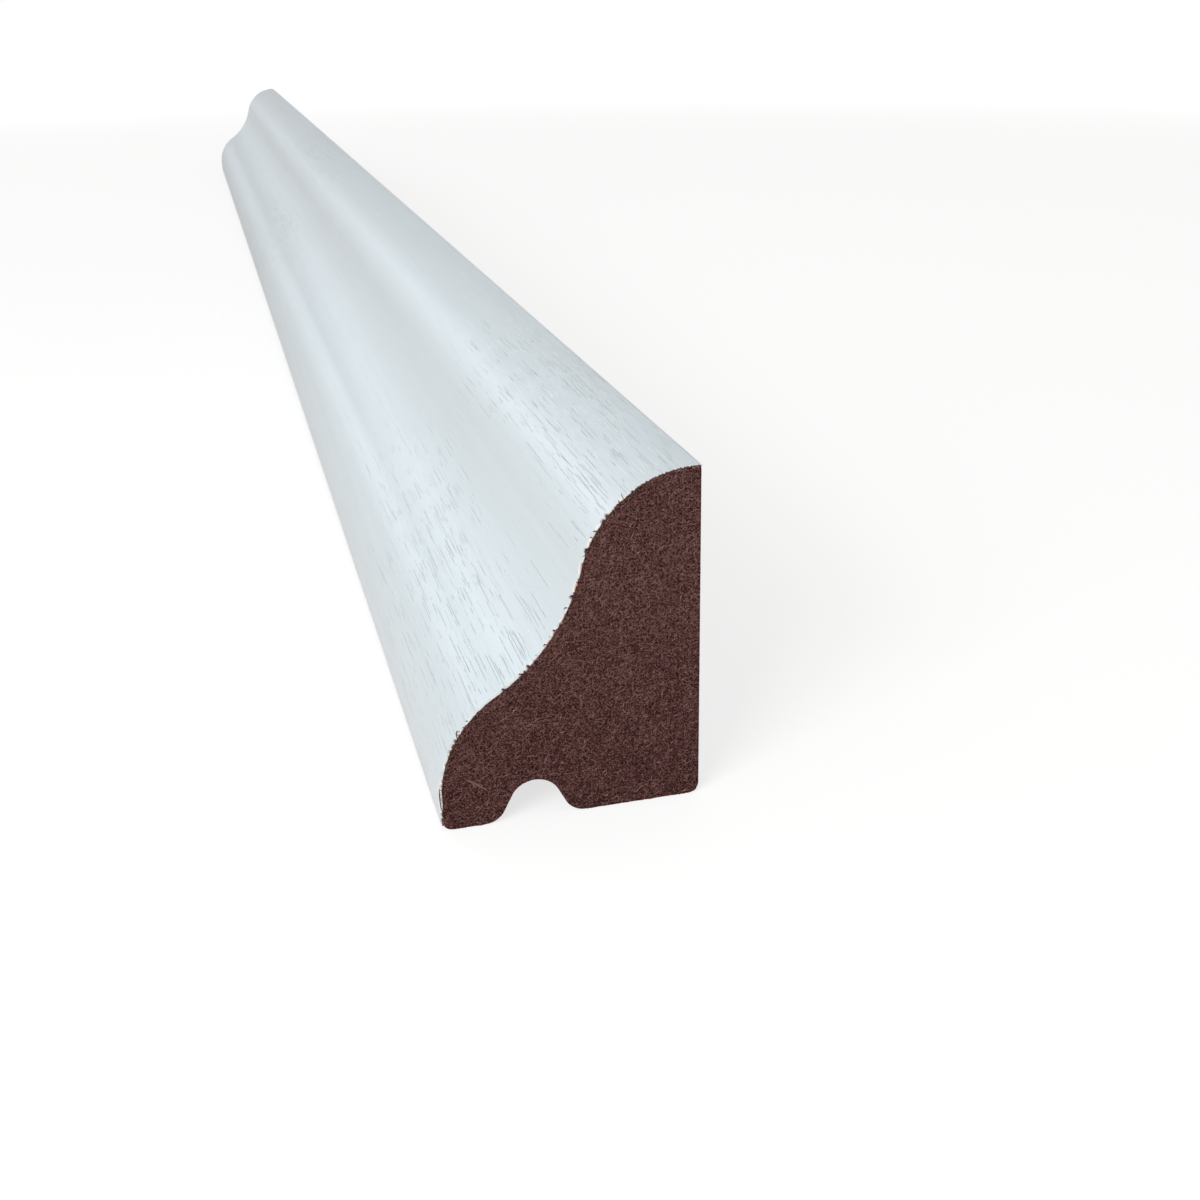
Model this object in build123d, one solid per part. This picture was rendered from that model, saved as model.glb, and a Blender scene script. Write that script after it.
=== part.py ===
from build123d import *
import math
import os

# Window drip moulding: a bar of wood-fibre composite, moulded to an ogee face with a drip
# groove along its underside, and a thin decor foil wrapped over the ogee.
# X runs along the length, +Y towards the flat back face, +Z up.
# The origin is in the plane of the underside, at the middle of the length and of the depth.

# Overall size in millimetres, foil included
length = 1000.0
height = 58.0
depth = 44.0
foil_thickness = 0.35

# Ogee face of the bare bar, from the back edge of its top down to the toe
crest_corner_radius = 0.6
crest_flat = 0.2
brow_radius = 19.4
cove_radius = 33.4
toe_radius = 20.2
toe_height = 5.8  # above the underside, where the upright toe face meets the toe curve

# Underside of the bare bar
toe_corner_radius = 1.5
heel_corner_radius = 1.9
groove_from_back = 28.2  # back face to the groove's centre line
groove_depth = 6.9
groove_crown_radius = 4.4
groove_lip_radius = 3.8
groove_wall_angle = 63.0  # degrees above the underside

# Lower edge of the foil: how many degrees it turns under the toe corner
foil_toe_turn = 15.0

# The bare bar's faces, and the centres of its arcs, in a section whose two axes are Y and Z
back = depth / 2
front = foil_thickness - depth / 2
top = height - foil_thickness


def bearing(start, end):
    """Direction from one point of the section to another, in degrees above +Y."""
    way = end - start
    return math.degrees(math.atan2(way.Y, way.X))


def step_out(start, reach, degrees):
    """The point that lies at a reach and a bearing from another."""
    turn = math.radians(degrees)
    return start + Vector(reach * math.cos(turn), reach * math.sin(turn))


def cove_centre(brow, toe):
    """Centre of the cove, which is tangent to the brow and to the toe from outside."""
    to_brow = brow_radius + cove_radius
    to_toe = toe_radius + cove_radius
    base = (toe - brow).length
    cosine = (to_brow**2 + base**2 - to_toe**2) / (2 * to_brow * base)
    return step_out(brow, to_brow, bearing(brow, toe) - math.degrees(math.acos(cosine)))


crest_corner = Vector(back - crest_corner_radius, top - crest_corner_radius)
brow = Vector(crest_corner.X - crest_flat, top - brow_radius)
toe = Vector(front + toe_radius, toe_height)
cove = cove_centre(brow, toe)
toe_corner = Vector(front + toe_corner_radius, toe_corner_radius)
heel_corner = Vector(back - heel_corner_radius, heel_corner_radius)


def ogee_arcs(offset, crest_turn, toe_turn):
    """Arcs of the ogee face, from the crest corner to the toe corner, an offset outside the bar.

    Each arc is (centre, radius, first bearing, last bearing).
    """
    brow_to_cove = bearing(brow, cove)
    toe_to_cove = bearing(toe, cove)
    return [
        (crest_corner, crest_corner_radius + offset, 90 - crest_turn, 90),
        (brow, brow_radius + offset, 90, brow_to_cove),
        (cove, cove_radius - offset, brow_to_cove - 180, toe_to_cove - 180),
        (toe, toe_radius + offset, toe_to_cove, 180),
        (toe_corner, toe_corner_radius + offset, 180, 180 + toe_turn),
    ]


def underside_arcs():
    """Arcs of the drip groove and the heel corner, from the toe side to the back."""
    wall = math.radians(groove_wall_angle)
    groove_y = back - groove_from_back
    crown = Vector(groove_y, groove_depth - groove_crown_radius)
    lost_height = (groove_crown_radius + groove_lip_radius) * (1 - math.cos(wall))
    wall_run = (groove_depth - lost_height) / math.tan(wall)
    half_mouth = (groove_crown_radius + groove_lip_radius) * math.sin(wall) + wall_run
    toe_lip = Vector(groove_y - half_mouth, groove_lip_radius)
    heel_lip = Vector(groove_y + half_mouth, groove_lip_radius)
    return [
        (toe_lip, groove_lip_radius, 270, 270 + groove_wall_angle),
        (crown, groove_crown_radius, 90 + groove_wall_angle, 90 - groove_wall_angle),
        (heel_lip, groove_lip_radius, 270 - groove_wall_angle, 270),
        (heel_corner, heel_corner_radius, 270, 360),
    ]


def joined(arcs):
    """Edges through a run of arcs, with a straight line wherever two arcs don't meet."""
    touching = 1e-6
    edges = []
    for centre, radius, first, last in arcs:
        arc_start = step_out(centre, radius, first)
        if edges and (arc_start - edges[-1] @ 1).length > touching:
            edges.append(Line(edges[-1] @ 1, arc_start))
        edges.append(CenterArc(centre, radius, first, last - first))
    return edges


def bar_of(edges):
    """A bar of the full length, with the closed section that the edges enclose."""
    section = Plane.YZ * make_face(edges)
    return extrude(section, amount=length / 2, both=True)


def core_bar():
    """The fibre bar: ogee face, drip groove and rounded corners."""
    outline = joined(ogee_arcs(0, 90, 90) + underside_arcs())
    outline.append(Line(outline[-1] @ 1, outline[0] @ 0))
    return bar_of(outline)


def foil_wrap():
    """The foil on the ogee face: trimmed flush with the back, and turned under the toe corner."""
    flush = crest_corner_radius / (crest_corner_radius + foil_thickness)
    crest_turn = math.degrees(math.asin(flush))
    glued = joined(ogee_arcs(0, crest_turn, foil_toe_turn))
    shown = joined(ogee_arcs(foil_thickness, crest_turn, foil_toe_turn))
    edges = [
        *glued,
        Line(glued[-1] @ 1, shown[-1] @ 1),
        *shown,
        Line(shown[0] @ 0, glued[0] @ 0),
    ]
    return bar_of(edges)


os.makedirs("parts", exist_ok=True)
for name, piece in {"core_bar": core_bar(), "foil_wrap": foil_wrap()}.items():
    export_step(piece, f"parts/{name}.step")
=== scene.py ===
import math
from functools import partial, reduce

import bpy
import numpy as np
from mathutils import Matrix, Vector
from mathutils.geometry import delaunay_2d_cdt


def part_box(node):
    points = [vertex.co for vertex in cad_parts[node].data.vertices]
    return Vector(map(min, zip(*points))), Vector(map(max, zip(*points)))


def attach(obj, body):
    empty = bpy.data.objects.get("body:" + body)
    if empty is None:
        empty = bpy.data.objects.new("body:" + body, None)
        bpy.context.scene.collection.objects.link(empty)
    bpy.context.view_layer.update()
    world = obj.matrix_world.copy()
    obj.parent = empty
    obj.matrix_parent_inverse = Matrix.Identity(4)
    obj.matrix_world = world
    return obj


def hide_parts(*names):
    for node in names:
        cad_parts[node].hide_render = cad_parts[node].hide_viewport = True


# Window drip moulding: a bar of pressed wood fibre under a thin white decor foil, sawn at both ends.
# X runs along the length, +Y towards the flat back face, +Z up.
# Places on the section and on the surfaces are in millimetres, and meshes are in metres.

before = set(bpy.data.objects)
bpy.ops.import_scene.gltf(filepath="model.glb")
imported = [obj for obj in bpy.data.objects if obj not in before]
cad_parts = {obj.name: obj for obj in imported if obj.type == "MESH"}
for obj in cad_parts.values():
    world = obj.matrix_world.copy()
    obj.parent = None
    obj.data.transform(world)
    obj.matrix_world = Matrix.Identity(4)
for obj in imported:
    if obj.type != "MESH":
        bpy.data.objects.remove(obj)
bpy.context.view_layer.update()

MM = 0.001

# What the frame gives
core_low, core_high = (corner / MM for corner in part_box("core_bar"))
foil_low, foil_high = (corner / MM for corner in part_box("foil_wrap"))
half_length = core_high.x
back = core_high.y
front = core_low.y
top = core_high.z
foil_thickness = foil_high.z - core_high.z

# Section of the bare bar
crest_corner_radius = 0.6
crest_flat = 0.2
brow_radius = 19.4
cove_radius = 33.4
toe_radius = 20.2
toe_height = 5.8
toe_corner_radius = 1.5
heel_corner_radius = 1.9
groove_from_back = 28.2
groove_depth = 6.9
groove_crown_radius = 4.4
groove_lip_radius = 3.8
groove_wall_angle = 63.0
foil_toe_turn = 15.0

# Sawn ends of the fibre bar
outline_step = 0.28  # between points along the outline
grain_step = 0.22  # between points of an end face
arris_worn = 0.12  # how far the sawn edge is rounded off
saw_depth = 0.17  # mean depth of the sawn face under its highest fibres
shallowest = 0.03  # least depth of a sawn face under the end plane
deepest_pit = 0.42
strand_gap = 0.01  # least depth of a strand under the end plane
paper_tone = 3.0  # tone of the strands that are torn paper and not fibre
fibre_pitch = 0.52  # spacing of the matted fibres
raised_fibres = 3700  # on each end
fibre_length = (0.4, 1.7)  # of the shortest and of the longest raised one
fibre_radius = (0.06, 0.115)
end_rows = [deepest_pit + 0.06, deepest_pit + 0.4]  # rings of points, by their distance from an end
core_rows = [1.5, 4, 10, 25, 60, 130, 260]  # and further along

# Foil at its cut ends
foil_step = 0.16
film_share = 0.4  # of the thickness: the white film, on its paper
torn_rows = [0.0, 0.06, 0.18]  # rings of points, by their distance behind the torn edge
foil_rows = [3.2, 6, 12, 25, 50, 100, 200, 350]  # and by their distance from an end
nicks_per_end = 95
nick_half_width = (0.10, 0.30)
nick_depth = (0.10, 0.50)
burrs_per_end = 120
burr_radius = (0.05, 0.11)
clean_cut = 12.0  # length of the cut edge, from its top, with hardly a nick or a burr

# Seeds of the random draws. Where both ends draw, the near one adds 1 and the far one takes 1 off.
bar_seed = 11
strand_seed = 40
foil_seed = 70
burr_seed = 90
face_seeds = {1: 3, -1: 4}

# Places on the near cut edge, by their distance along it from the back edge of its top:
# (distance, half width, depth torn off the film, depth torn off the paper, stain)
TEARS = [
    (14.0, 0.45, 0.50, 0.05, 0.6),
    (17.6, 0.35, 0.80, 0.75, 0.2),
    (18.6, 0.30, 0.65, 0.60, 0.2),
    (19.9, 0.70, 0.45, 0.05, 0.3),
    (22.5, 0.80, 0.50, 0.05, 0.5),
    (24.0, 0.35, 0.75, 0.65, 0.2),
    (26.8, 0.90, 0.55, 0.05, 0.8),
    (29.9, 0.80, 0.70, 0.15, 1.0),
    (31.8, 0.35, 0.60, 0.55, 0.2),
    (36.1, 0.40, 0.30, 0.05, 0.3),
    (38.1, 0.70, 0.65, 0.10, 1.0),
    (40.0, 0.50, 0.50, 0.15, 0.7),
    (45.0, 0.30, 0.55, 0.50, 0.2),
    (50.4, 0.25, 0.45, 0.40, 0.2),
    (60.8, 0.30, 0.40, 0.10, 0.3),
    (61.9, 0.25, 0.65, 0.60, 0.2),
    (62.8, 0.30, 0.65, 0.60, 0.2),
    (64.0, 0.30, 0.70, 0.60, 0.2),
    (66.4, 0.50, 0.40, 0.10, 0.4),
    (68.1, 0.35, 0.50, 0.45, 0.2),
    (69.3, 0.45, 0.50, 0.10, 0.8),
    (70.4, 0.25, 0.50, 0.45, 0.3),
    (72.0, 1.20, 2.90, 0.05, 0.4),
    (73.4, 1.80, 1.50, 0.05, 0.4),
    (75.6, 0.35, 0.75, 0.70, 0.2),
    (77.0, 0.80, 0.55, 0.50, 0.3),
]

# Dark strands over the near cut edge: (distance along the edge, [(along, out from it)...], radius).
# Two more numbers set a strand's start and stop back from the end plane.
BURRS = [
    (13.8, [(0.1, -0.7), (0.0, 0.1), (-0.25, 0.75)], 0.06),
    (14.5, [(0.0, -0.65), (0.2, -0.15), (0.1, 0.10)], 0.11),
    (18.0, [(0.0, -0.75), (0.1, -0.25), (0.3, -0.05)], 0.15),
    (20.5, [(0.0, -0.65), (0.1, -0.10), (0.3, 0.15)], 0.12),
    (21.5, [(0.0, -0.65), (0.2, -0.10), (0.3, 0.15)], 0.12),
    (23.3, [(0.0, -0.45), (0.4, -0.10), (0.9, -0.15), (1.3, -0.35)], 0.14),
    (31.8, [(-0.2, -0.65), (0.0, -0.05), (0.2, 0.20)], 0.14),
    (33.8, [(-0.2, -0.55), (0.0, 0.05), (0.3, 0.20)], 0.12),
    (37.9, [(-0.1, -0.25), (0.1, 0.00), (0.2, 0.05)], 0.19),
    (39.0, [(-0.3, -0.55), (0.0, -0.10), (0.3, 0.00)], 0.14),
    (40.6, [(-0.3, -0.55), (0.0, -0.10), (0.4, 0.00)], 0.14),
    (42.6, [(-0.2, -0.65), (0.0, -0.15), (0.3, 0.05)], 0.14),
    (45.0, [(-0.2, -0.55), (0.0, -0.05), (0.1, 0.05)], 0.16),
    (46.8, [(-0.2, -0.55), (0.0, -0.05), (0.2, 0.00)], 0.12),
    (48.8, [(-0.2, -0.55), (0.0, -0.15), (0.2, 0.00)], 0.12),
    (50.4, [(-0.2, -0.55), (0.0, -0.05), (0.2, -0.05)], 0.14),
    (52.9, [(-0.2, -0.65), (0.0, -0.15), (0.2, 0.00)], 0.14),
    (54.4, [(-0.2, -0.65), (0.0, -0.15), (0.2, -0.05)], 0.12),
    (58.0, [(-0.3, -0.55), (0.0, -0.05), (0.2, 0.05)], 0.14),
    (61.6, [(0.0, -0.6), (-0.4, -0.2), (-0.9, 0.2), (-1.3, 0.35), (-1.5, 0.1), (-1.3, -0.2)], 0.10),
    (75.0, [(-0.2, -0.55), (0.1, -0.25), (0.3, -0.25)], 0.15),
    (71.0, [(0.0, -0.17), (1.2, -0.17), (2.4, -0.18), (3.8, -0.20)], 0.16, 0.75, 0.05),
]

# Splinters on the near end: ([places on the section], radius)
SPLINTERS = [
    ([(-17.6, 8.95), (-16.6, 8.35), (-15.6, 7.6), (-14.1, 6.4)], 0.24),
    ([(-16.5, 8.4), (-16.35, 7.8), (-16.25, 7.3)], 0.15),
]

# Slivers of torn paper beside the long dark strand at the toe, listed in the same way
PAPER_SLIVERS = [
    (71.4, [(0.0, -0.36), (1.2, -0.42), (2.4, -0.44), (3.2, -0.40)], 0.09),
    (66.8, [(0.0, -0.20), (0.8, -0.33), (1.5, -0.30)], 0.10),
]

# Fibre dust rubbed onto the cut edges, and painted shade: distances along them, and how much lies there.
# Near the top of the cut it is painted shade, the edge darkened to the fibre's colour.
SMEAR_AND_SHADE = ([11, 14, 74.8, 75.6, 77.4], [0.8, 0, 0, 0.35, 0.6])


def polar(centre, radius, degrees):
    turn = math.radians(degrees)
    return np.array(centre) + radius * np.array([math.cos(turn), math.sin(turn)])


def bearing(start, end):
    return math.degrees(math.atan2(end[1] - start[1], end[0] - start[0]))


def cove_centre():
    """Centre of the cove, which is tangent to the brow and to the toe from outside."""
    to_brow = brow_radius + cove_radius
    to_toe = toe_radius + cove_radius
    base = math.dist(brow, toe)
    cosine = (to_brow**2 + base**2 - to_toe**2) / (2 * to_brow * base)
    return polar(brow, to_brow, bearing(brow, toe) - math.degrees(math.acos(cosine)))


crest_corner = (back - crest_corner_radius, top - crest_corner_radius)
brow = (crest_corner[0] - crest_flat, top - brow_radius)
toe = (front + toe_radius, toe_height)
cove = cove_centre()
toe_corner = (front + toe_corner_radius, toe_corner_radius)
heel_corner = (back - heel_corner_radius, heel_corner_radius)


def ogee_arcs(offset, crest_turn, toe_turn):
    """Arcs of the ogee from the crest to the toe corner: (centre, radius, first and last bearing)."""
    brow_to_cove = bearing(brow, cove)
    toe_to_cove = bearing(toe, cove)
    return [
        (crest_corner, crest_corner_radius + offset, 90 - crest_turn, 90),
        (brow, brow_radius + offset, 90, brow_to_cove),
        (cove, cove_radius - offset, brow_to_cove - 180, toe_to_cove - 180),
        (toe, toe_radius + offset, toe_to_cove, 180),
        (toe_corner, toe_corner_radius + offset, 180, 180 + toe_turn),
    ]


def underside_arcs():
    """Arcs of the drip groove and the heel corner, from the toe side to the back."""
    wall = math.radians(groove_wall_angle)
    groove_y = back - groove_from_back
    both_radii = groove_crown_radius + groove_lip_radius
    wall_run = (groove_depth - both_radii * (1 - math.cos(wall))) / math.tan(wall)
    half_mouth = both_radii * math.sin(wall) + wall_run
    toe_lip = (groove_y - half_mouth, groove_lip_radius)
    crown = (groove_y, groove_depth - groove_crown_radius)
    heel_lip = (groove_y + half_mouth, groove_lip_radius)
    return [
        (toe_lip, groove_lip_radius, 270, 270 + groove_wall_angle),
        (crown, groove_crown_radius, 90 + groove_wall_angle, 90 - groove_wall_angle),
        (heel_lip, groove_lip_radius, 270 - groove_wall_angle, 270),
        (heel_corner, heel_corner_radius, 270, 360),
    ]


def straight(start, end, step):
    """Points on the way from one place to another, both left out, and the normals on their right."""
    reach = math.dist(start, end)
    count = max(1, math.ceil(reach / step))
    along = np.linspace(start, end, count + 1)[1:-1]
    way = (np.array(end) - start) / reach
    return along, np.tile([way[1], -way[0]], (len(along), 1))


def sampled(arcs, step, closed):
    """Points of a run of arcs, their outward normals and their distances along it."""
    touching = 1e-4
    patches = []
    for centre, radius, first, last in arcs:
        count = max(4, math.ceil(math.radians(abs(last - first)) * radius / step))
        turns = np.radians(np.linspace(first, last, count + 1))
        rays = np.column_stack([np.cos(turns), np.sin(turns)])
        arc = np.array(centre) + radius * rays
        if patches and math.dist(patches[-1][0][-1], arc[0]) > touching:
            patches.append(straight(patches[-1][0][-1], arc[0], step))
        elif patches:
            arc, rays = arc[1:], rays[1:]
        patches.append((arc, rays if last > first else -rays))
    if closed:
        patches.append(straight(patches[-1][0][-1], patches[0][0][0], step))
    points, normals = (np.vstack(part) for part in zip(*patches))
    steps = np.hypot(*np.diff(points, axis=0).T)
    return points, normals, np.append(0, np.cumsum(steps))


def foil_outline():
    """The foil's outer face: trimmed flush with the back, and turned under the toe corner."""
    flush = crest_corner_radius / (crest_corner_radius + foil_thickness)
    crest_turn = math.degrees(math.asin(flush))
    return sampled(ogee_arcs(foil_thickness, crest_turn, foil_toe_turn), foil_step, closed=False)


def core_outline():
    return sampled(ogee_arcs(0, 90, 90) + underside_arcs(), outline_step, closed=True)


def core_seam():
    """The line where the foil lies on the bar."""
    return sampled(ogee_arcs(0, 40, foil_toe_turn), 0.1, closed=False)[0]


class Ripple:
    """A patch of seeded noise over the section, whose ripples all have about one length."""

    pixel = 0.1

    def __init__(self, rng, pitch, spread=0.35):
        margin = 2.0
        self.corner = np.array([front - margin, -margin])
        reach = (back - front + 2 * margin, top + 2 * margin)
        shape = tuple(int(side / self.pixel) for side in reach)
        across = np.fft.fftfreq(shape[0], self.pixel)[:, None]
        up = np.fft.rfftfreq(shape[1], self.pixel)[None]
        band = np.exp(-(((np.hypot(across, up) * pitch - 1) / spread) ** 2))
        field = np.fft.irfft2(np.fft.rfft2(rng.standard_normal(shape)) * band, shape)
        self.field = field / field.std()

    def at(self, places):
        """The noise at places of the section, with a spread of 1 about 0."""
        cell = (places - self.corner) / self.pixel
        low = np.clip(np.floor(cell).astype(int), 0, np.array(self.field.shape) - 2)
        part = np.clip(cell - low, 0, 1)
        (column, row), (across, up) = low.T, part.T
        first, second = (
            self.field[at, row] * (1 - up) + self.field[at, row + 1] * up for at in (column, column + 1)
        )
        return first + (second - first) * across


def noise_along(rng, places, pitch):
    """Seeded noise along a line, from 0 to 1."""
    knots = np.arange(places.min() - pitch, places.max() + 2 * pitch, pitch)
    return np.interp(places, knots, rng.random(len(knots)))


def inside(places, outline):
    """True for each place that lies inside a closed outline."""
    found = np.zeros(len(places), bool)
    for (y0, z0), (y1, z1) in zip(outline, np.roll(outline, -1, axis=0)):
        if z0 == z1:
            continue
        between = (places[:, 1] >= min(z0, z1)) & (places[:, 1] < max(z0, z1))
        crossing = y0 + (places[:, 1] - z0) * (y1 - y0) / (z1 - z0)
        found ^= between & (places[:, 0] < crossing)
    return found


def nearest(places, outline):
    """Distance from each place to the closest point of an outline."""
    reach = np.full(len(places), np.inf)
    for spot in outline:
        reach = np.minimum(reach, np.hypot(*(places - spot).T))
    return reach


def in_scene(name, data):
    """A new object with the given data, in the scene."""
    made = bpy.data.objects.new(name, data)
    bpy.context.scene.collection.objects.link(made)
    return made


class Solid:
    """Points and faces of one piece, gathered patch by patch and made into a mesh at the end."""

    def __init__(self, *values):
        self.count = 0
        self.points, self.faces, self.surface, self.baked, self.finish = [], [], [], [], []
        self.values = {name: [] for name in values}

    def add_points(self, points, **values):
        """Adds points in millimetres, with a number each for every value, and returns their indices."""
        first = self.count
        self.points.append(points)
        self.count += len(points)
        for name, kept in self.values.items():
            kept.append(np.broadcast_to(values.get(name, 0.0), len(points)))
        return np.arange(first, self.count)

    def add_ring(self, level, loop, **values):
        """Adds places of the section, at one level along the bar or each at its own."""
        return self.add_points(np.column_stack([np.broadcast_to(level, len(loop)), loop]), **values)

    def add_faces(self, corners, surface, baked, finish=0):
        """Adds faces by their corners. Surface and baked are the corners' places on the two maps."""
        self.faces.append(corners)
        self.surface.append(surface.reshape(-1, 2))
        self.baked.append(baked.reshape(-1, 2))
        self.finish.append(np.full(len(corners), finish))

    def made(self, name, *materials, sharp=58):
        """The piece as an object, in metres. Edges that turn by more than sharp degrees stay crisp."""
        mesh = bpy.data.meshes.new(name)
        sizes = np.concatenate([np.full(len(faces), faces.shape[1]) for faces in self.faces])
        corners = np.concatenate([faces.ravel() for faces in self.faces])
        mesh.vertices.add(self.count)
        mesh.vertices.foreach_set("co", (np.vstack(self.points) * MM).astype(np.float32).ravel())
        mesh.loops.add(len(corners))
        mesh.loops.foreach_set("vertex_index", corners.astype(np.int32))
        mesh.polygons.add(len(sizes))
        mesh.polygons.foreach_set("loop_start", (np.cumsum(sizes) - sizes).astype(np.int32))
        for material in materials:
            mesh.materials.append(material)
        mesh.polygons.foreach_set("material_index", np.concatenate(self.finish).astype(np.int32))
        mesh.update(calc_edges=True)
        for uv_name, places in (("OFBake", self.baked), ("surface", self.surface)):
            layer = mesh.uv_layers.new(name=uv_name)
            layer.data.foreach_set("uv", np.vstack(places).astype(np.float32).ravel())
        for value, numbers in self.values.items():
            attribute = mesh.attributes.new(value, "FLOAT", "POINT")
            attribute.data.foreach_set("value", np.concatenate(numbers).astype(np.float32))
        mesh.shade_smooth()
        mesh.set_sharp_from_angle(angle=math.radians(sharp))
        return in_scene(name, mesh)


def grid_corners(rows, closed):
    """Quads between the points of equal rows, with each quad's row and column."""
    after = np.roll(rows, -1, axis=1)
    if not closed:
        rows, after = rows[:, :-1], after[:, :-1]
    corners = np.stack([rows[:-1], rows[1:], after[1:], after[:-1]], axis=-1)
    row, column = np.indices(corners.shape[:2])
    return corners.reshape(-1, 4), row.ravel(), column.ravel()


def on_map(across, along, row, column):
    """The place on a map of each corner of the quads that grid_corners made."""
    turns = [(0, 0), (1, 0), (1, 1), (0, 1)]
    places = [np.column_stack([across[row + i], along[column + j]]) for i, j in turns]
    return np.stack(places, axis=1)


def scaled(numbers, low, high):
    """Numbers moved and scaled to run from low to high."""
    return low + (numbers - numbers.min()) / np.ptp(numbers) * (high - low)


ALONG_MAP = (0.005, 0.995)  # reach of a piece's length on the baked map


def add_sides(solid, rings, loop, rows, girth, baked_girth):
    """Adds rings of points around the section at the rows, and the long faces between all the rings."""
    for level in [half_length - inset for inset in rows] + [0.0]:
        for side in {level, -level}:
            rings.append((side, solid.add_ring(side, loop)))
    rings.sort(key=lambda ring: -ring[0])
    levels = np.array([level for level, _ in rings])
    corners, row, column = grid_corners(np.array([points for _, points in rings]), closed=True)
    solid.add_faces(
        corners,
        on_map(levels, girth, row, column),
        on_map(scaled(levels, *ALONG_MAP), baked_girth, row, column),
    )


# The fibre bar

SIDE_MAP = (0.005, 0.335)  # reach of the bar's girth on the baked map
END_MAPS = {1: (0.005, 0.345), -1: (0.505, 0.345)}  # lower left corner of each end on it
END_SCALE = 0.011  # of the map, for a millimetre of an end


def uneven_grid(rng, step, low, high):
    """Points of a triangular grid over a rectangle, each moved a little."""
    y, z = np.meshgrid(
        np.arange(low[0], high[0], step),
        np.arange(low[1], high[1], step * math.sqrt(3) / 2),
    )
    y[1::2] += step / 2
    places = np.column_stack([y.ravel(), z.ravel()])
    return places + rng.uniform(-0.22, 0.22, places.shape) * step


def end_triangles(outline, inner):
    """Triangles that fill a closed outline through the inner points, numbered after its own."""
    places = np.vstack([outline, inner])
    ring = [(i, (i + 1) % len(outline)) for i in range(len(outline))]
    _, _, faces, sources, _, _ = delaunay_2d_cdt([Vector(place) for place in places], ring, [], 0, 1e-6)
    source = np.array([found[0] for found in sources])
    triangles = source[np.array(faces)]
    triangles = triangles[inside(places[triangles].mean(axis=1), outline)]
    a, b, c = (places[triangles[:, i]] for i in range(3))
    turn = (b[:, 0] - a[:, 0]) * (c[:, 1] - a[:, 1]) - (b[:, 1] - a[:, 1]) * (c[:, 0] - a[:, 0])
    triangles[turn < 0] = triangles[turn < 0][:, ::-1]
    return triangles


class SawnFace:
    """Relief of one sawn end: matted fibres, the pits between them and smoother patches."""

    def __init__(self, seed):
        rng = np.random.default_rng(seed)
        self.fibres = Ripple(rng, fibre_pitch)
        self.tufts = Ripple(rng, 1.5, 0.5)
        self.patches = Ripple(rng, 7, 0.6)
        self.dents = Ripple(rng, 16, 0.6)

    def pit(self, places):
        """How far down a pit each place is, from 0 to 1."""
        low = -self.fibres.at(places) - 0.35 * self.tufts.at(places)
        return np.clip((low - 1.45 + 0.25 * self.patches.at(places)) / 0.9, 0, 1)

    def depth(self, places):
        """Depth under the end plane, in millimetres."""
        rough = 0.045 * (1 + 0.35 * np.clip(self.patches.at(places), -1.5, 1.5))  # height of the fibres
        relief = rough * self.fibres.at(places) + 0.022 * self.tufts.at(places)
        deep = saw_depth - relief + 0.15 * self.pit(places) + 0.015 * self.dents.at(places)
        return np.clip(deep, shallowest, deepest_pit)


def core_solid(faces):
    """The fibre bar, with its moulded sides and both sawn ends in one closed mesh."""
    rng = np.random.default_rng(bar_seed)
    outline, normals, reach = core_outline()
    girth = np.append(reach, reach[-1] + math.dist(outline[-1], outline[0]))
    seam = core_seam()
    bare = np.where(nearest(outline, seam) < 0.01, 0.25, 1.0)
    worn = arris_worn * bare * (0.5 + noise_along(rng, reach, 0.7))
    rim = outline - normals * worn[:, None]
    inner = uneven_grid(rng, grain_step, outline.min(axis=0), outline.max(axis=0))
    inner = inner[inside(inner, rim)]
    inner = inner[nearest(inner, rim) > 0.55 * grain_step]
    triangles = end_triangles(rim, inner)
    end_places = np.vstack([rim, inner])
    from_edge = np.concatenate([np.zeros(len(rim)), nearest(inner, rim)])
    dusted = np.exp(-nearest(end_places, seam) / 0.3)

    solid = Solid("sawn", "pit", "dusted")
    rings = []
    for end in (1, -1):
        broken_out = 0.08 * (1 - dusted) * np.exp(-((from_edge / 0.25) ** 2))
        deep = faces[end].depth(end_places) * (1 - 0.65 * dusted) + broken_out
        deep = np.clip(deep, shallowest, deepest_pit)
        level = end * (half_length - deep)
        pit = faces[end].pit(end_places)
        points = solid.add_ring(level, end_places, sawn=1.0, pit=pit, dusted=dusted)
        facing = triangles[:, ::end]
        baked = np.array(END_MAPS[end]) + (end_places - [front, 0]) * END_SCALE
        solid.add_faces(points[facing], end_places[facing], baked[facing])
        rings.append((end * half_length, points[: len(outline)]))
        for inset in end_rows:
            level = end * (half_length - inset)
            rings.append((level, solid.add_ring(level, outline, sawn=0.4)))
    add_sides(solid, rings, outline, core_rows, girth, scaled(girth, *SIDE_MAP))
    return solid


# Round strands: the fibres that stand proud of the sawn ends, splinters and burrs


def tube_points(paths, radii, toward, sides):
    """Rings of points around paths, in an array of strand, station, side and axis."""
    along = np.gradient(paths, axis=1)
    along /= np.linalg.norm(along, axis=2, keepdims=True)
    across = np.cross(along, toward)
    across /= np.linalg.norm(across, axis=2, keepdims=True)
    proud = np.cross(across, along)
    turns = math.pi / 2 + np.arange(sides) / sides * 2 * math.pi
    spokes = across[:, :, None] * np.cos(turns)[:, None] + proud[:, :, None] * np.sin(turns)[:, None]
    return paths[:, :, None] + radii[:, :, None, None] * spokes


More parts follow.
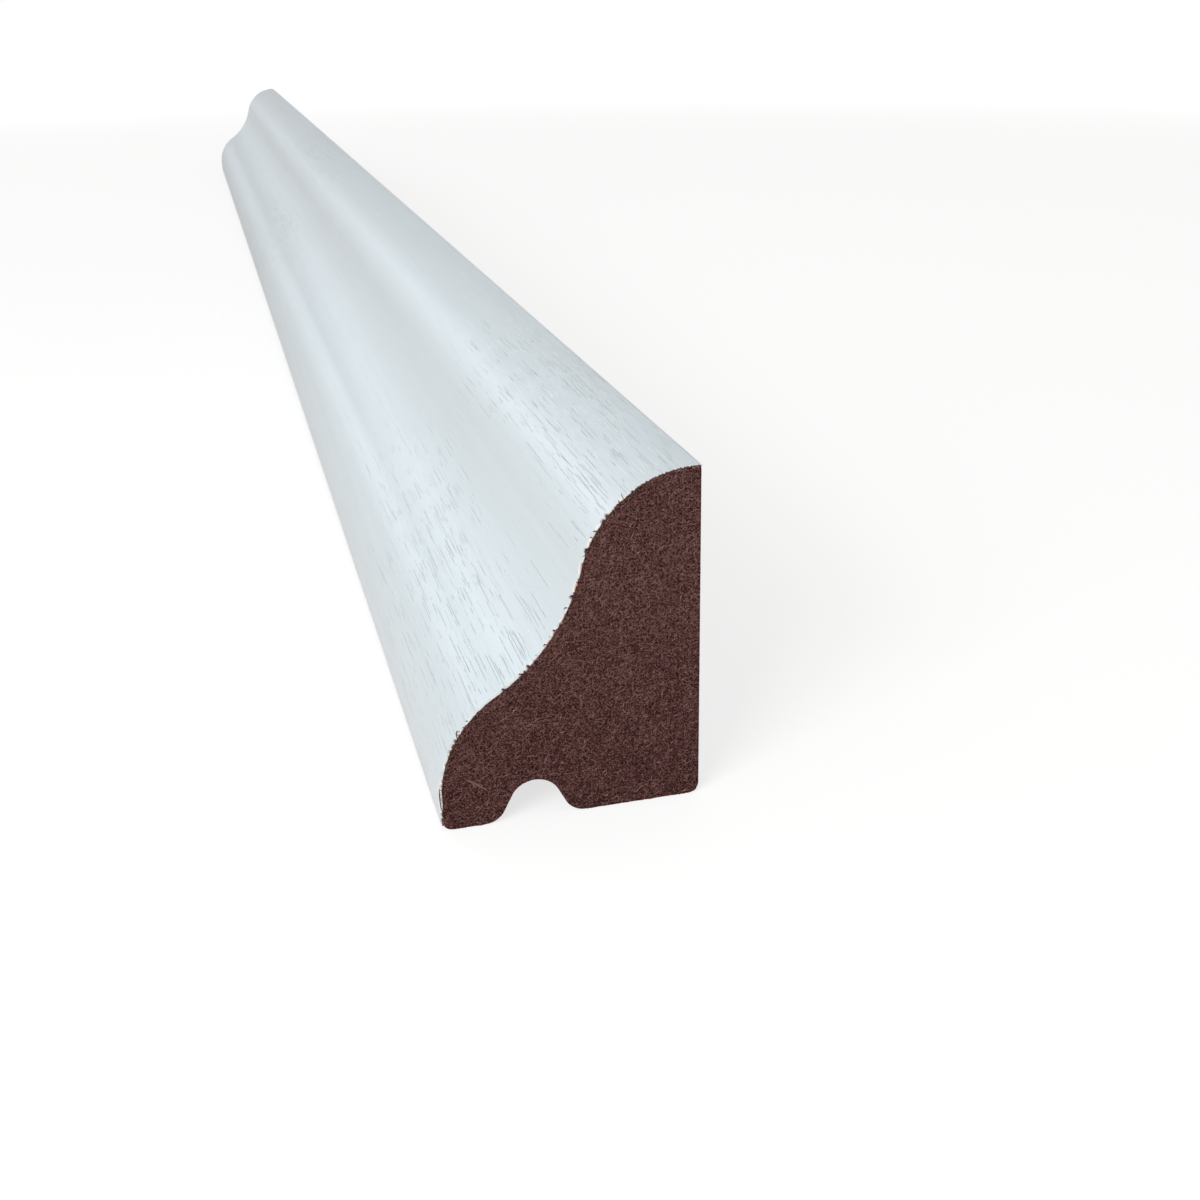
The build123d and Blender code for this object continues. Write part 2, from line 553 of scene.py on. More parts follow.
def add_tubes(solid, paths, radii, toward, cells, first_cell=0, sides=3, **values):
    """Adds closed strands. Each has a cell of its own on the baked map, of cells by cells."""
    points = tube_points(paths, radii, toward, sides)
    strands, stations = points.shape[:2]
    per_point = {
        name: np.repeat(np.broadcast_to(value, strands), stations * sides)
        for name, value in values.items()
    }
    index = solid.add_points(points.reshape(-1, 3), **per_point).reshape(strands, -1)
    flat = points[..., 1:].reshape(strands, -1, 2)
    cell = first_cell + np.arange(strands)
    corner = np.column_stack([cell % cells, cell // cells])[:, None, None] / cells
    length = np.linspace(0.1, 0.9, stations) / cells
    round_about = np.linspace(0.1, 0.9, sides + 1) / cells
    one = np.arange(stations * sides).reshape(stations, sides)
    quads, row, column = grid_corners(one, closed=True)
    baked = corner + on_map(length, round_about, row, column)
    solid.add_faces(index[:, quads].reshape(-1, 4), flat[:, quads], baked)
    caps = np.array([one[0, ::-1], one[-1]])
    spot = np.broadcast_to(corner + 0.05 / cells, (strands, 2, sides, 2))
    solid.add_faces(index[:, caps].reshape(-1, sides), flat[:, caps], spot)


def bent(centre, heading, length, bend, stations):
    """A strand's places on the section: an arc through its centre, by heading and total bend."""
    share = np.linspace(-0.5, 0.5, stations)
    turn = heading[:, None] + bend[:, None] * share
    step = length[:, None] / (stations - 1)
    y = np.cumsum(np.cos(turn) * step, axis=1)
    z = np.cumsum(np.sin(turn) * step, axis=1)
    middle = stations // 2
    path = np.stack([y - y[:, [middle]], z - z[:, [middle]]], axis=-1)
    return centre[:, None] + path


def end_fibres(faces):
    """Fibres that stand proud of both sawn ends."""
    solid = Solid("tone")
    outline = core_outline()[0]
    stations = 5
    cells = math.ceil(math.sqrt(2 * raised_fibres))
    used = 0
    for end in (1, -1):
        rng = np.random.default_rng(strand_seed + end)
        count = int(raised_fibres * 1.5)  # because many reach past the outline and are left out
        centre = rng.uniform(outline.min(axis=0), outline.max(axis=0), (count, 2))
        length = rng.gamma(5, 0.17, count).clip(*fibre_length)
        heading = rng.uniform(0, math.pi, count)
        bend = rng.normal(0, 1.1, count)
        places = bent(centre, heading, length, bend, stations)
        flat = places.reshape(-1, 2)
        clear = inside(flat, outline) & (nearest(flat, outline) > 0.3)
        kept = clear.reshape(count, stations).all(axis=1)
        kept &= np.cumsum(kept) <= raised_fibres
        places, length = places[kept], length[kept]
        radius = rng.uniform(*fibre_radius, len(places))
        pale = rng.random(len(places)) < 0.5
        tone = np.where(pale, rng.uniform(0.45, 1.0, len(places)), rng.uniform(0, 0.2, len(places)))
        deep = faces[end].depth(places.reshape(-1, 2)).reshape(places.shape[:2])
        deep = 0.5 * deep + 0.5 * deep.mean(axis=1, keepdims=True)
        radii = radius[:, None] * np.sin(np.linspace(0.35, math.pi - 0.35, stations))
        level = np.maximum(deep - 0.35 * radii, radii + strand_gap)
        paths = np.concatenate([(end * (half_length - level))[..., None], places], axis=-1)
        add_tubes(solid, paths, radii, (end, 0, 0), cells, used, tone=tone)
        used += len(paths)
    return solid


def edge_place(line, at, out):
    """Places beside the ogee's outer line, by their distance along it and out from it."""
    points, normals, reach = line
    found, facing = (
        np.stack([np.interp(at, reach, axis) for axis in both.T], axis=-1) for both in (points, normals)
    )
    return found + out[..., None] * facing


def refined(steps, count):
    """A path of count places through a few that are given."""
    knots, fine = np.linspace(0, 1, len(steps)), np.linspace(0, 1, count)
    return np.column_stack([np.interp(fine, knots, axis) for axis in np.array(steps).T])


def in_box(paths, radii):
    """Strands moved just enough to stay inside the object's box."""
    low = np.array([-half_length, foil_low.y, foil_low.z])
    high = np.array([half_length, foil_high.y, foil_high.z])
    room = radii[..., None] + 0.005
    return np.clip(paths, low + room, high - room)


def chosen_strands(solid, strands, cells, first_cell, tone):
    """Adds the strands of a list to the near end, all in one tone."""
    line = foil_outline()
    for number, (start, steps, radius, *set_back) in enumerate(strands):
        along, out = refined(steps, 2 * len(steps) + 1).T
        places = edge_place(line, start + along, out)
        radii = radius * np.sin(np.linspace(0.5, math.pi - 0.3, len(along)))
        level = half_length - radius - strand_gap - np.linspace(*(set_back or (0, 0)), len(along))
        paths = in_box(np.column_stack([level, places])[None], radii[None])
        add_tubes(solid, paths, radii[None], (1, 0, 0), cells, first_cell + number, tone=tone)


def burrs():
    """Dark fibres of the bar that the saw pulled over the foil's cut edge, at both ends."""
    solid = Solid("tone")
    used = len(BURRS) + len(PAPER_SLIVERS)
    cells = math.ceil(math.sqrt(2 * burrs_per_end + used))
    chosen_strands(solid, BURRS, cells, 0, tone=0.0)
    chosen_strands(solid, PAPER_SLIVERS, cells, len(BURRS), tone=paper_tone)
    line = foil_outline()
    stations = 5
    for end in (1, -1):
        rng = np.random.default_rng(burr_seed + end)
        start = rng.uniform(clean_cut, line[2][-1] - 0.6, (burrs_per_end, 1))
        lean = rng.normal(0, 0.25, (burrs_per_end, 1))
        share = np.linspace(0, 1, stations)
        out = -foil_thickness - 0.25 + share * rng.uniform(0.25, 0.55, (burrs_per_end, 1))
        at = start + lean * share + 0.08 * np.sin(share * 3 + 7 * lean)
        places = edge_place(line, at, out)
        radii = rng.uniform(*burr_radius, (burrs_per_end, 1)) * np.linspace(1, 0.45, stations)
        level = half_length - radii - rng.uniform(0.0, 0.12, (burrs_per_end, 1)) * (1 - share)
        paths = in_box(np.concatenate([(end * level)[..., None], places], axis=-1), radii)
        tone = rng.uniform(0, 0.5, burrs_per_end)
        add_tubes(solid, paths, radii, (end, 0, 0), cells, used, tone=tone)
        used += burrs_per_end
    return solid


def splinters(face):
    """The pale forked splinter that lies on the near end, above the toe."""
    solid = Solid("tone")
    for number, (places, radius) in enumerate(SPLINTERS):
        path = refined(places, 4 * len(places))
        radii = radius * np.sin(np.linspace(0.3, math.pi - 0.4, len(path)))
        deep = face.depth(path)
        deep = deep.mean() + 0.4 * (deep - deep.mean())
        level = half_length - np.maximum(deep - 0.7 * radii, radii + strand_gap)
        paths = np.column_stack([level, path])[None]
        add_tubes(solid, paths, radii[None], (1, 0, 0), 2, number, sides=8, tone=0.84)
    return solid


# Materials


class Nodes:
    """Short calls for the nodes of a material or the world."""

    def __init__(self, owner):
        owner.use_nodes = True
        self.tree = owner.node_tree

    def node(self, kind, inputs, **settings):
        """A node with its settings and its inputs, each of them a value or another node's output."""
        made = self.tree.nodes.new(kind)
        for name, value in settings.items():
            setattr(made, name, value)
        for name, value in inputs.items():
            self.feed(made.inputs[name], value)
        return made

    def feed(self, socket, value):
        if isinstance(value, bpy.types.NodeSocket):
            self.tree.links.new(value, socket)
        else:
            socket.default_value = value

    def math(self, operation, *values):
        return self.node("ShaderNodeMath", dict(enumerate(values)), operation=operation).outputs[0]

    def times(self, *values):
        return reduce(partial(self.math, "MULTIPLY"), values)

    def total(self, *values):
        return reduce(partial(self.math, "ADD"), values)

    def most(self, *values):
        return reduce(partial(self.math, "MAXIMUM"), values)

    def vector(self, operation, *values):
        return self.node("ShaderNodeVectorMath", dict(enumerate(values)), operation=operation).outputs[0]

    def stretched(self, place, scale):
        """A place on the surface with its two axes scaled."""
        return self.vector("MULTIPLY", place, (*scale, 0))

    def shifted(self, place, seed, step=(17.3, 9.1)):
        """A place moved far enough for another seed to show another part of a pattern."""
        return self.vector("ADD", place, (step[0] * seed, step[1] * seed, 0))

    def split(self, vector):
        return self.node("ShaderNodeSeparateXYZ", {0: vector}).outputs

    def joined(self, x, y, z=0.0):
        return self.node("ShaderNodeCombineXYZ", {0: x, 1: y, 2: z}).outputs[0]

    def surface(self):
        """Place on the unrolled surface, or on the section of an end, in millimetres."""
        return self.node("ShaderNodeUVMap", {}, uv_map="surface").outputs[0]

    def value(self, name):
        """A number that the mesh carries."""
        return self.node("ShaderNodeAttribute", {}, attribute_name=name).outputs["Fac"]

    def noise(self, place, scale, detail):
        """Noise from 0 to 1, with about scale ripples to a millimetre along each axis."""
        inputs = {"Vector": self.stretched(place, scale), "Scale": 1.0, "Detail": detail}
        return self.node("ShaderNodeTexNoise", inputs).outputs[0]

    def cells(self, vector, scatter=1.0):
        """Cells about one unit wide: each cell's middle and its own random colour."""
        inputs = {"Vector": vector, "Scale": 1.0, "Randomness": scatter}
        made = self.node("ShaderNodeTexVoronoi", inputs)
        return made.outputs["Position"], made.outputs["Color"]

    def ramp_to(self, value, low, high, from_low=0.0, from_high=1.0, smooth=False):
        """A value's run from from_low to from_high as one from low to high, level beyond both."""
        kind = "SMOOTHSTEP" if smooth else "LINEAR"
        inputs = {"Value": value, 1: from_low, 2: from_high, 3: low, 4: high}
        return self.node("ShaderNodeMapRange", inputs, interpolation_type=kind).outputs[0]

    def shades(self, value, stops):
        """A colour from a value, through (place, colour) stops."""
        made = self.node("ShaderNodeValToRGB", {0: value})
        ramp = made.color_ramp
        while len(ramp.elements) < len(stops):
            ramp.elements.new(1.0)
        for element, (place, colour) in zip(ramp.elements, stops):
            element.position = place
            element.color = (*colour, 1.0)
        return made.outputs[0]

    def mixed(self, share, first, second):
        """Two colours mixed, by the second one's share."""
        sides = ((*side, 1.0) if isinstance(side, tuple) else side for side in (first, second))
        inputs = dict(zip((0, 6, 7), (share, *sides)))
        return self.node("ShaderNodeMix", inputs, data_type="RGBA").outputs[2]

    def bump(self, height, distance):
        """Relief of the given height, which is distance millimetres where it is 1."""
        inputs = {"Height": height, "Distance": distance * MM, "Strength": 1.0}
        return self.node("ShaderNodeBump", inputs).outputs[0]

    def seen(self):
        """1 for rays from the camera, a mirror or clear glass, and 0 for light that falls on things."""
        path = self.node("ShaderNodeLightPath", {}).outputs
        return self.most(path["Is Camera Ray"], path["Is Glossy Ray"], path["Is Transmission Ray"])


class Finish(Nodes):
    """A procedural material."""

    def __init__(self, name):
        self.material = bpy.data.materials.new(name)
        super().__init__(self.material)

    def set(self, **inputs):
        """Sets or links inputs of the shader, by their names with _ for a blank."""
        for name, value in inputs.items():
            self.feed(self.tree.nodes["Principled BSDF"].inputs[name.replace("_", " ")], value)


def fibre_layer(mat, place, seed, patch, length, width):
    """Strokes that run one way in each patch of the surface, and another way in the next."""
    shifted = mat.shifted(place, seed)
    wander = mat.noise(shifted, (0.9, 0.9), 1.0)
    wavy = mat.vector("ADD", shifted, mat.joined(wander, wander))
    _, colour = mat.cells(mat.stretched(wavy, (1 / patch, 1 / patch)))
    heading = mat.times(mat.split(colour)[0], 2 * math.pi)
    turned = mat.node("ShaderNodeVectorRotate", {"Vector": wavy, "Angle": heading})
    turned.rotation_type = "Z_AXIS"
    return mat.noise(turned.outputs[0], (1 / length, 1 / width), 0.5)


def curl_layer(mat, place, seed, pitch, width):
    """Curled strokes, along the lines where a noise crosses its middle value."""
    field = mat.noise(mat.shifted(place, seed), (1 / pitch, 1 / pitch), 0.0)
    off = mat.math("ABSOLUTE", mat.math("SUBTRACT", field, 0.5))
    return mat.ramp_to(off, 1.0, 0.0, 0.0, width, smooth=True)


# Colours of the pressed fibre, from the painted shade at the bottom of a pit to the palest strand
PIT_SHADE = (0.026, 0.0040, 0.0035)
FIBRE_DARK = (0.069, 0.0198, 0.0174)
FIBRE = (0.123, 0.049, 0.042)
FIBRE_LIGHT = (0.234, 0.133, 0.120)
FIBRE_PALE = (0.42, 0.27, 0.24)


def pressed_fibre():
    """Red-brown wood fibre: matted and pitted where it is sawn, pressed smooth on its sides. Its colour
    holds painted shade on the sawn ends: darker down the pits, in the gaps between fibres and in small
    holes, and darker towards the bottom.
    """
    mat = Finish("pressed_fibre")
    place = mat.surface()
    sawn, pit, dusted = (mat.value(name) for name in ("sawn", "pit", "dusted"))
    layers = [fibre_layer(mat, place, seed, 1.6, 1.0, 0.26) for seed in (1, 2)]
    matted = mat.ramp_to(mat.most(*layers), 0.0, 1.0, 0.54, 0.68)
    curls = mat.most(*(curl_layer(mat, place, seed, 0.60, 0.09) for seed in (4, 5)))
    strokes = mat.total(mat.times(matted, 0.45), mat.times(curls, 0.8))
    # painted shade: dark curled gaps between the fibres of the sawn ends
    gap_shade = mat.times(curl_layer(mat, place, 7, 0.46, 0.10), sawn)
    # painted shade: dark specks for small holes in the sawn ends
    hole_shade_noise = mat.noise(place, (3.2, 3.2), 1.0)
    hole_shade = mat.times(mat.ramp_to(hole_shade_noise, 0.0, 1.0, 0.60, 0.66), sawn)
    cloudy = mat.noise(place, (0.14, 0.14), 3.0)
    upward = mat.split(place)[1]
    tone = mat.total(
        mat.times(strokes, mat.ramp_to(sawn, 0.22, 1.15)),
        mat.ramp_to(cloudy, -0.10, 0.10, 0.3, 0.7),
        # painted shade: the fibre darker towards the bottom of the ends
        mat.ramp_to(upward, -0.19, 0.035, 4.0, 44.0),
        mat.ramp_to(sawn, 0.34, 0.195),
        # painted shade: darker down the pits
        mat.times(pit, -0.35),
        mat.times(hole_shade, -1.25),
        mat.times(gap_shade, -0.62),
    )
    stops = [(0.0, PIT_SHADE), (0.28, FIBRE_DARK), (0.52, FIBRE), (1.0, FIBRE_LIGHT)]
    uneven = mat.noise(place, (1.8, 1.8), 2.0)
    dust = mat.total(dusted, mat.ramp_to(uneven, -0.5, 0.5, 0.3, 0.7))
    covered = mat.ramp_to(dust, 0.0, 0.9, 0.66, 1.05)
    hue = mat.noise(place, (0.45, 0.45), 2.0)
    green = mat.ramp_to(hue, 0.96, 1.00, 0.35, 0.65)
    blue = mat.ramp_to(hue, 1.07, 0.96, 0.35, 0.65)
    fibre = mat.vector("MULTIPLY", mat.shades(tone, stops), mat.joined(1.0, green, blue))
    mat.set(Base_Color=mat.mixed(covered, fibre, PAPER_DUST))
    mat.set(Roughness=mat.total(mat.ramp_to(sawn, 0.62, 0.86), mat.times(strokes, 0.06)))
    height = mat.times(strokes, mat.ramp_to(sawn, 0.25, 1.0))
    mat.set(Normal=mat.bump(height, 0.09), Specular_IOR_Level=0.25)
    return mat.material


def loose_fibre():
    """The same fibre where single strands stand proud, each in its own tone."""
    mat = Finish("loose_fibre")
    tone = mat.value("tone")
    fleck = mat.noise(mat.surface(), (3.0, 3.0), 1.0)
    shade = mat.total(mat.times(tone, 0.68), mat.times(fleck, 0.5), -0.02)
    stops = [(0.0, FIBRE_DARK), (0.5, FIBRE), (0.85, FIBRE_LIGHT), (1.0, FIBRE_PALE)]
    is_paper = mat.ramp_to(tone, 0.0, 1.0, 2.0, paper_tone)
    mat.set(Base_Color=mat.mixed(is_paper, mat.shades(shade, stops), PAPER_CREAM))
    mat.set(Roughness=mat.ramp_to(fleck, 0.7, 0.9), Specular_IOR_Level=0.25)
    mat.set(Normal=mat.bump(fleck, 0.03))
    return mat.material


def pore_layer(mat, place, seed, cell, reach, half_width, share):
    """Pores along the grain, in a share of the cells: fine dashes, and the raised lips beside them,
    which the foil paints with a highlight.
    """
    length, width = cell
    unit = mat.stretched(mat.shifted(place, seed, (31.7, 5.3)), (1 / length, 1 / width))
    middle, colour = mat.cells(unit, 0.65)
    offset = mat.split(mat.vector("SUBTRACT", unit, middle))
    chance, size, depth = mat.split(colour)
    along = mat.math("ABSOLUTE", mat.times(offset[0], length))
    part = mat.math("DIVIDE", along, mat.ramp_to(size, 0.25 * reach, reach))
    dash = mat.ramp_to(part, 1.0, 0.0, 0.6, 1.0, smooth=True)
    there = mat.times(dash, mat.math("LESS_THAN", chance, share), mat.times(depth, depth))
    lines = []
    for beside, half in ((0.0, half_width), (2.8 * half_width, 1.8 * half_width)):
        across = mat.math("ABSOLUTE", mat.total(mat.times(offset[1], width), beside))
        line = mat.ramp_to(across, 1.0, 0.0, 0.4 * half, 1.2 * half, smooth=True)
        lines.append(mat.times(line, there))
    return lines


def grain_strength(mat, place):
    """How strong the grain is along the bar, where it comes and goes in long waves."""
    crest, wave_length = 480.0, 520.0
    from_crest = mat.math("SUBTRACT", mat.split(place)[0], crest)
    wave = mat.math("COSINE", mat.times(from_crest, 2 * math.pi / wave_length))
    return mat.ramp_to(wave, 0.25, 1.0, -0.3, 1.0)


def crowding(mat, place):
    """The share of cells that hold a pore: most on the brow and the lower slope, least in the cove."""
    clusters = mat.noise(place, (0.020, 0.22), 2.0)
    from_cove = mat.math("ABSOLUTE", mat.math("SUBTRACT", mat.split(place)[1], 31.0))
    slopes = mat.ramp_to(from_cove, 0.10, 0.9, 4.0, 14.0, smooth=True)
    return mat.times(mat.ramp_to(clusters, 0.60, 0.90, 0.34, 0.62), slopes)


# Layers of pores in the foil: (seed, a cell's length and width, greatest half length, half width)
PORES = [
    (1, (18.0, 0.56), 8.5, 0.036),
    (4, (21.0, 0.62), 9.5, 0.036),
    (2, (9.0, 1.00), 3.0, 0.040),
]
DOTS = (3, (2.8, 2.1), 0.20, 0.11)
CREST_RIDGES = (5, (12.0, 0.42), 5.5, 0.085)

# Colours of the foil
FOIL_WHITE = (0.735, 0.825, 0.880)
FOIL_SHADED = (0.692, 0.778, 0.825)
FOIL_PORE = (0.415, 0.540, 0.608)
# painted highlight: the colour of the raised lips and crest ridges, paler than the foil itself
FOIL_LIP_HIGHLIGHT = (0.885, 0.965, 0.995)
FILM = (0.88, 0.91, 0.93)
PAPER = (0.88, 0.88, 0.88)
PAPER_CREAM = (0.93, 0.84, 0.76)
PAPER_STAINED = (0.72, 0.42, 0.40)
PAPER_DUST = (0.62, 0.47, 0.45)


def decor_foil():
    """White foil, embossed with the fine pores and streaks of wood grain, with a painted highlight on
    the raised lips beside the pores and on the ridges of the crest.
    """
    mat = Finish("decor_foil")
    place = mat.surface()
    drift = mat.noise(place, (0.012, 0.08), 2.0)
    lane = mat.vector("ADD", place, mat.joined(0.0, mat.times(drift, 1.2)))
    strength = grain_strength(mat, place)
    share = mat.times(crowding(mat, lane), strength)
    layers = [pore_layer(mat, lane, *sizes, share) for sizes in PORES]
    pores, lips = (mat.most(*lines) for lines in zip(*layers))
    dots, _ = pore_layer(mat, lane, *DOTS, 0.18)
    pores = mat.most(mat.times(pores, strength), mat.times(dots, 0.8))
    # ridges along the crest, which take the same painted highlight as the lips
    ridges, _ = pore_layer(mat, lane, *CREST_RIDGES, share)
    on_crest = mat.ramp_to(mat.split(place)[1], 1.0, 0.0, 9.0, 19.0, smooth=True)
    lips = mat.most(mat.times(lips, 1.4), mat.times(ridges, on_crest, 2.5))
    lips = mat.math("MINIMUM", mat.times(lips, strength), 1.0)
    streaks = mat.noise(place, (0.006, 0.45), 3.0)
    clouds = mat.noise(place, (0.02, 0.06), 2.0)
    broad = mat.ramp_to(clouds, 0.0, 0.4, 0.3, 0.7)
    tint = mat.total(mat.ramp_to(streaks, 0.0, 0.6, 0.35, 0.68), broad)
    hairs = mat.noise(lane, (0.05, 4.5), 1.0)
    hairs = mat.ramp_to(hairs, -0.5, 0.5, 0.3, 0.7)
    shade = mat.total(tint, mat.times(hairs, mat.total(share, 0.2)))
    ground = mat.mixed(shade, FOIL_WHITE, FOIL_SHADED)
    # painted highlight on the lips and the crest ridges
    raised = mat.mixed(lips, ground, FOIL_LIP_HIGHLIGHT)
    mat.set(Base_Color=mat.mixed(pores, raised, FOIL_PORE))
    skin = mat.noise(place, (1.2, 3.2), 2.0)
    mat.set(Roughness=mat.total(mat.ramp_to(skin, 0.33, 0.43), mat.times(pores, 0.2)))
    height = mat.total(
        mat.times(skin, 0.12),
        mat.times(streaks, 0.10),
        mat.times(pores, -1.0),
        mat.times(lips, 0.6),
    )
    mat.set(Normal=mat.bump(height, 0.05), Specular_IOR_Level=0.4)
    return mat.material


def torn_paper():
    """The foil's cut and torn edge: white film over paper that is stained and has fibre rubbed onto it,
    with painted shade near the top of the cut, where the edge is darkened to the fibre's colour.
    """
    mat = Finish("torn_paper")
    place = mat.surface()
    stain = mat.value("stain")
    patchy = mat.noise(place, (1.1, 1.6), 3.0)
    shade = mat.total(mat.times(stain, 1.15), mat.ramp_to(patchy, -0.3, 0.1, 0.3, 0.7))
    down = mat.math("DIVIDE", mat.split(place)[0], foil_thickness)
    paper = mat.shades(shade, [(0.0, PAPER), (0.4, PAPER_CREAM), (0.9, PAPER_STAINED)])
    under_film = mat.ramp_to(down, 0.0, 1.0, film_share - 0.1, film_share + 0.1)
    layers = mat.mixed(under_film, FILM, paper)
    uneven = mat.noise(place, (0, 2.6), 2.0)
    # fibre dust on the paper's inner part, and painted shade: the edge near the top of the cut darkened
    # to the fibre's colour
    smear = mat.total(down, mat.ramp_to(uneven, -0.4, 0.4, 0.3, 0.7), mat.value("smear"))
    smeared = mat.ramp_to(smear, 0.0, 1.0, 0.95, 1.20)
    mat.set(Base_Color=mat.mixed(smeared, layers, FIBRE))
    mat.set(Roughness=mat.ramp_to(patchy, 0.8, 0.95))
    mat.set(Normal=mat.bump(patchy, 0.05))
    return mat.material


# The foil

SHOWN_MAP = (0.005, 0.93)  # reach of the foil's outer face on the baked map
GLUED_MAP = (0.935, 0.955)
CUT_MAP = (0.01, 0.99)  # reach of the cut edges on it
CUT_LINES = {1: (0.966, 0.971, 0.979), -1: (0.983, 0.988, 0.996)}  # their outer, film and inner lines


def torn_depths(rng, reach, tears):
    """How far film and paper are chipped back from the end plane, and how stained the paper is."""
    rough = np.interp(reach, [clean_cut - 2, clean_cut + 2], [0.3, 1.0])
    film = 0.04 + 0.20 * rough * noise_along(rng, reach, 0.30) * noise_along(rng, reach, 1.6)
    paper = 0.03 * noise_along(rng, reach, 0.5)
    stain = 0.25 * rough * noise_along(rng, reach, 1.8) ** 2
    for middle in rng.uniform(clean_cut, reach[-1], nicks_per_end):
        half = rng.uniform(*nick_half_width)
        deep = rng.uniform(*nick_depth)
        nick = np.clip(1 - np.abs(reach - middle) / half, 0, 1) ** 0.6
        film = np.maximum(film, deep * nick)
        paper = np.maximum(paper, deep * rng.uniform(0.1, 1.0) * nick)
    for middle, half, film_deep, paper_deep, stained in tears:
        ragged = half * (0.8 + 0.5 * noise_along(rng, reach, 0.3))
        tear = np.clip((1 - np.abs(reach - middle) / ragged) * 2.5, 0, 1)
        uneven = 0.75 + 0.25 * noise_along(rng, reach, 0.25)
        film = np.maximum(film, film_deep * tear * uneven)
        paper = np.maximum(paper, paper_deep * tear)
        stain = np.maximum(stain, stained * tear)
    return film, paper, stain


def foil_solid():
    """The foil: a skin of real thickness, its cut ends chipped back from the end planes."""
    outer, normals, reach = foil_outline()
    inner = outer - normals * foil_thickness
    seam = outer - normals * foil_thickness * film_share
    loop = np.vstack([outer, inner[::-1]])
    around = np.concatenate([reach, reach[-1] + foil_thickness + reach])
    around = np.append(around, around[-1] + foil_thickness)
    solid = Solid("stain", "smear")
    rings = []
    for end in (1, -1):
        rng = np.random.default_rng(foil_seed + end)
        tears = TEARS if end > 0 else [(reach[-1] - middle, *rest) for middle, *rest in TEARS[::2]]
        film, paper, stain = torn_depths(rng, reach, tears)
        # fibre dust, and painted shade near the top of the cut
        smear = np.interp(reach, *SMEAR_AND_SHADE)
        chipped = np.append(film, paper[::-1])
        stains_and_shade = {"stain": np.append(stain, stain[::-1]), "smear": np.append(smear, smear[::-1])}
        for inset in torn_rows:
            points = solid.add_ring(end * (half_length - chipped - inset), loop, **stains_and_shade)
            rings.append((end * (half_length - inset), points))
        cut = rings[-3][1]
        seam_level = end * (half_length - 0.35 * film - 0.65 * paper)
        seam_points = solid.add_ring(seam_level, seam, stain=stain, smear=smear)
        lines = np.array([cut[: len(outer)], seam_points, cut[len(outer) :][::-1]])
        corners, row, column = grid_corners(lines, closed=False)
        surface = on_map(np.array([0, film_share, 1]) * foil_thickness, reach, row, column)
        baked = on_map(np.array(CUT_LINES[end]), scaled(reach, *CUT_MAP), row, column)[..., ::-1]
        facing = slice(None, None, -end)
        solid.add_faces(corners[:, facing], surface[:, facing], baked[:, facing], finish=1)
    on_girth = np.concatenate([scaled(reach, *SHOWN_MAP), scaled(reach, *GLUED_MAP), [0.96]])
    add_sides(solid, rings, loop, foil_rows, around, on_girth)
    return solid


# Stage, light and camera

CAMERA_PLACE = Vector((0.70568, -0.04953, 0.12630))
CAMERA_WAY = Vector((-0.8917, 0.2375, -0.3854))
CAMERA_ROLL = -1.04  # degrees
CAMERA_LENS = 44.16  # millimetres, on a sensor 36 mm wide

# Colours of the even light from all sides, and of the floor as it is seen and as it throws light back
AMBIENT = (0.42, 0.4137, 0.4032)
FLOOR_SEEN = (0.42, 0.42, 0.42)
FLOOR_LIT = (0.50, 0.40, 0.33)


def aimed(place, way):
    """The matrix of a camera or a lamp at a place, that looks the given way."""
    return Matrix.Translation(place) @ way.to_track_quat("-Z", "Y").to_matrix().to_4x4()


def add_camera():
    data = bpy.data.cameras.new("camera")
    data.sensor_width = 36
    data.lens = CAMERA_LENS
    data.clip_start = 0.01
    data.clip_end = 100
    camera = in_scene("camera", data)
    roll = Matrix.Rotation(math.radians(CAMERA_ROLL), 4, "Z")
    camera.matrix_world = aimed(CAMERA_PLACE, CAMERA_WAY) @ roll
    bpy.context.scene.camera = camera


def add_area_light(name, place, aim, size, power, colour):
    data = bpy.data.lights.new(name, "AREA")
    data.shape = "RECTANGLE"
    data.size, data.size_y = size
    data.energy = power
    data.color = colour
    light = in_scene(name, data)
    light.matrix_world = aimed(place, Vector(aim) - Vector(place))
    light.visible_camera = False


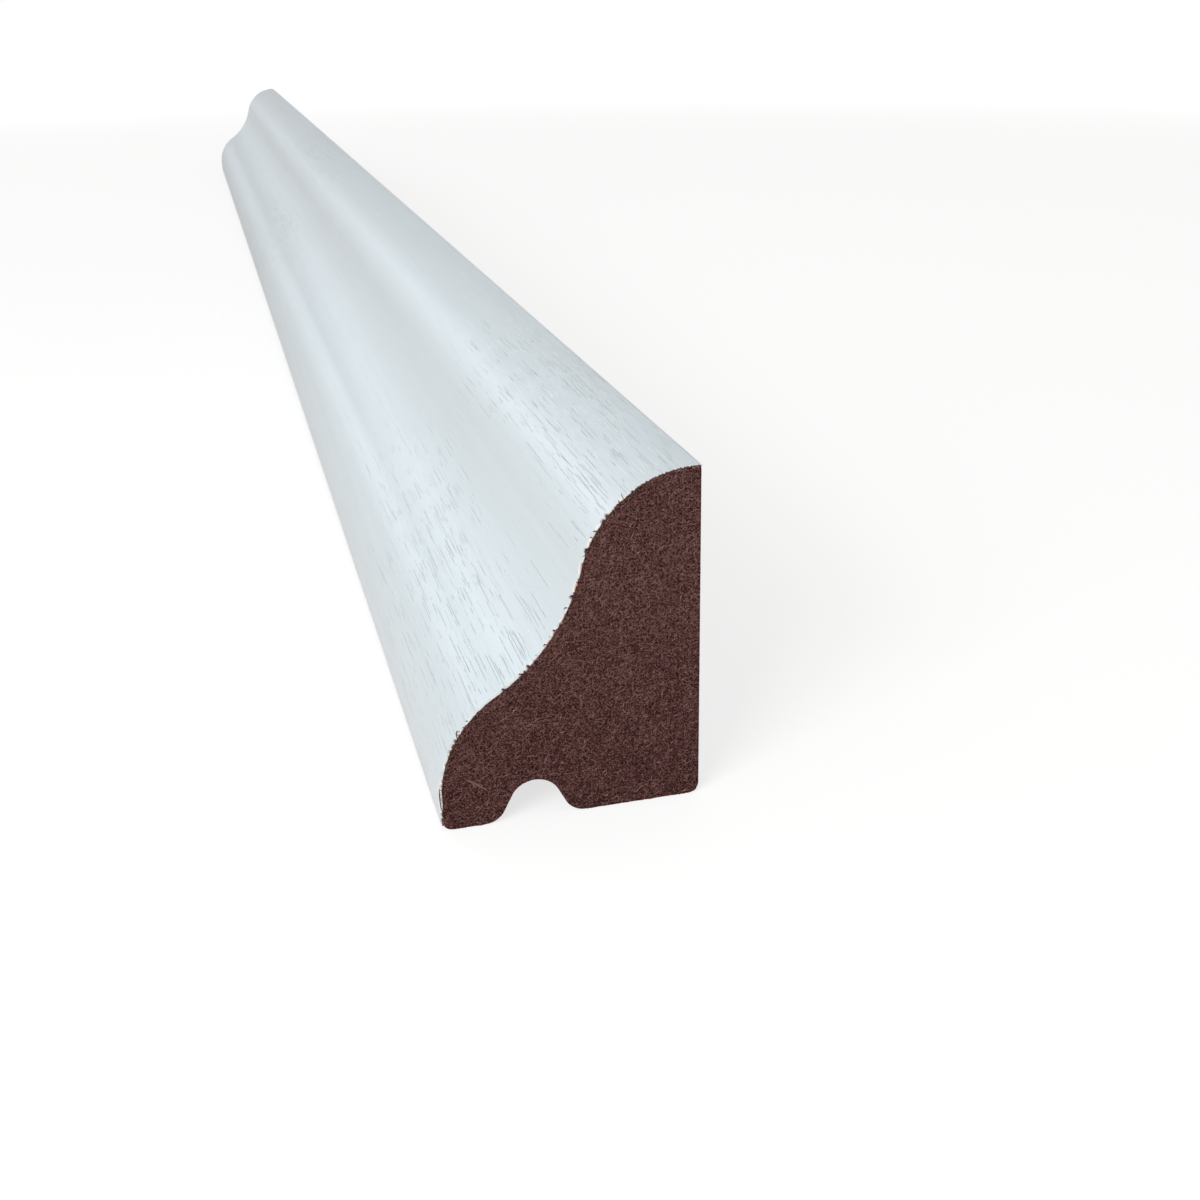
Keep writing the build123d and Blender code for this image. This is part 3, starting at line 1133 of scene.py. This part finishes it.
def add_lights():
    near_end = (0.42, 0, 0.03)
    add_area_light("key", (1.05, -0.60, 0.48), near_end, (0.5, 0.4), 5.7, (0.98, 0.99, 0.99))
    add_area_light("far_window", (-4.4, -2.16, 1.45), near_end, (1.6, 1.2), 20, (0.78, 0.90, 1.0))


def add_world():
    """White where it is seen, and a soft even light elsewhere."""
    world = bpy.data.worlds.new("studio")
    nodes = Nodes(world)
    colour = nodes.mixed(nodes.seen(), AMBIENT, (1, 1, 1))
    nodes.feed(nodes.tree.nodes["Background"].inputs["Color"], colour)
    bpy.context.scene.world = world


def floor_finish():
    """Pale floor that looks white to the camera, and still keeps the soft shadow of the moulding."""
    mat = Finish("floor")
    seen = mat.seen()
    place = mat.node("ShaderNodeNewGeometry", {}).outputs["Position"]
    away = mat.node("ShaderNodeVectorMath", {0: place}, operation="LENGTH").outputs["Value"]
    own_light = mat.ramp_to(away, 0.72, 1.0, 0.7, 2.2, smooth=True)
    mat.set(Base_Color=mat.mixed(seen, FLOOR_LIT, FLOOR_SEEN))
    mat.set(Emission_Color=(1, 1, 1, 1), Emission_Strength=mat.times(seen, own_light))
    mat.set(Roughness=0.9, Specular_IOR_Level=0.1)
    return mat.material


def add_floor():
    reach, gap = 30.0, 0.00001
    corners = [(x * reach, y * reach, -gap) for x, y in ((-1, -1), (1, -1), (1, 1), (-1, 1))]
    mesh = bpy.data.meshes.new("floor")
    mesh.from_pydata(corners, [], [(0, 1, 2, 3)])
    mesh.materials.append(floor_finish())
    in_scene("floor", mesh)


def build():
    faces = {end: SawnFace(seed) for end, seed in face_seeds.items()}
    core = core_solid(faces).made("fibre_bar", pressed_fibre())
    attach(core, "root")
    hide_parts("core_bar")
    foil = foil_solid().made("white_foil", decor_foil(), torn_paper())
    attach(foil, "root")
    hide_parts("foil_wrap")
    fibre = loose_fibre()
    strands = {
        "raised_fibres": end_fibres(faces),
        "edge_burrs": burrs(),
        "pale_splinter": splinters(faces[1]),
    }
    for name, solid in strands.items():
        piece = solid.made(name, fibre)
        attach(piece, "root")


bpy.context.scene.view_settings.view_transform = "Standard"
add_camera()
add_floor()
add_world()
add_lights()
build()
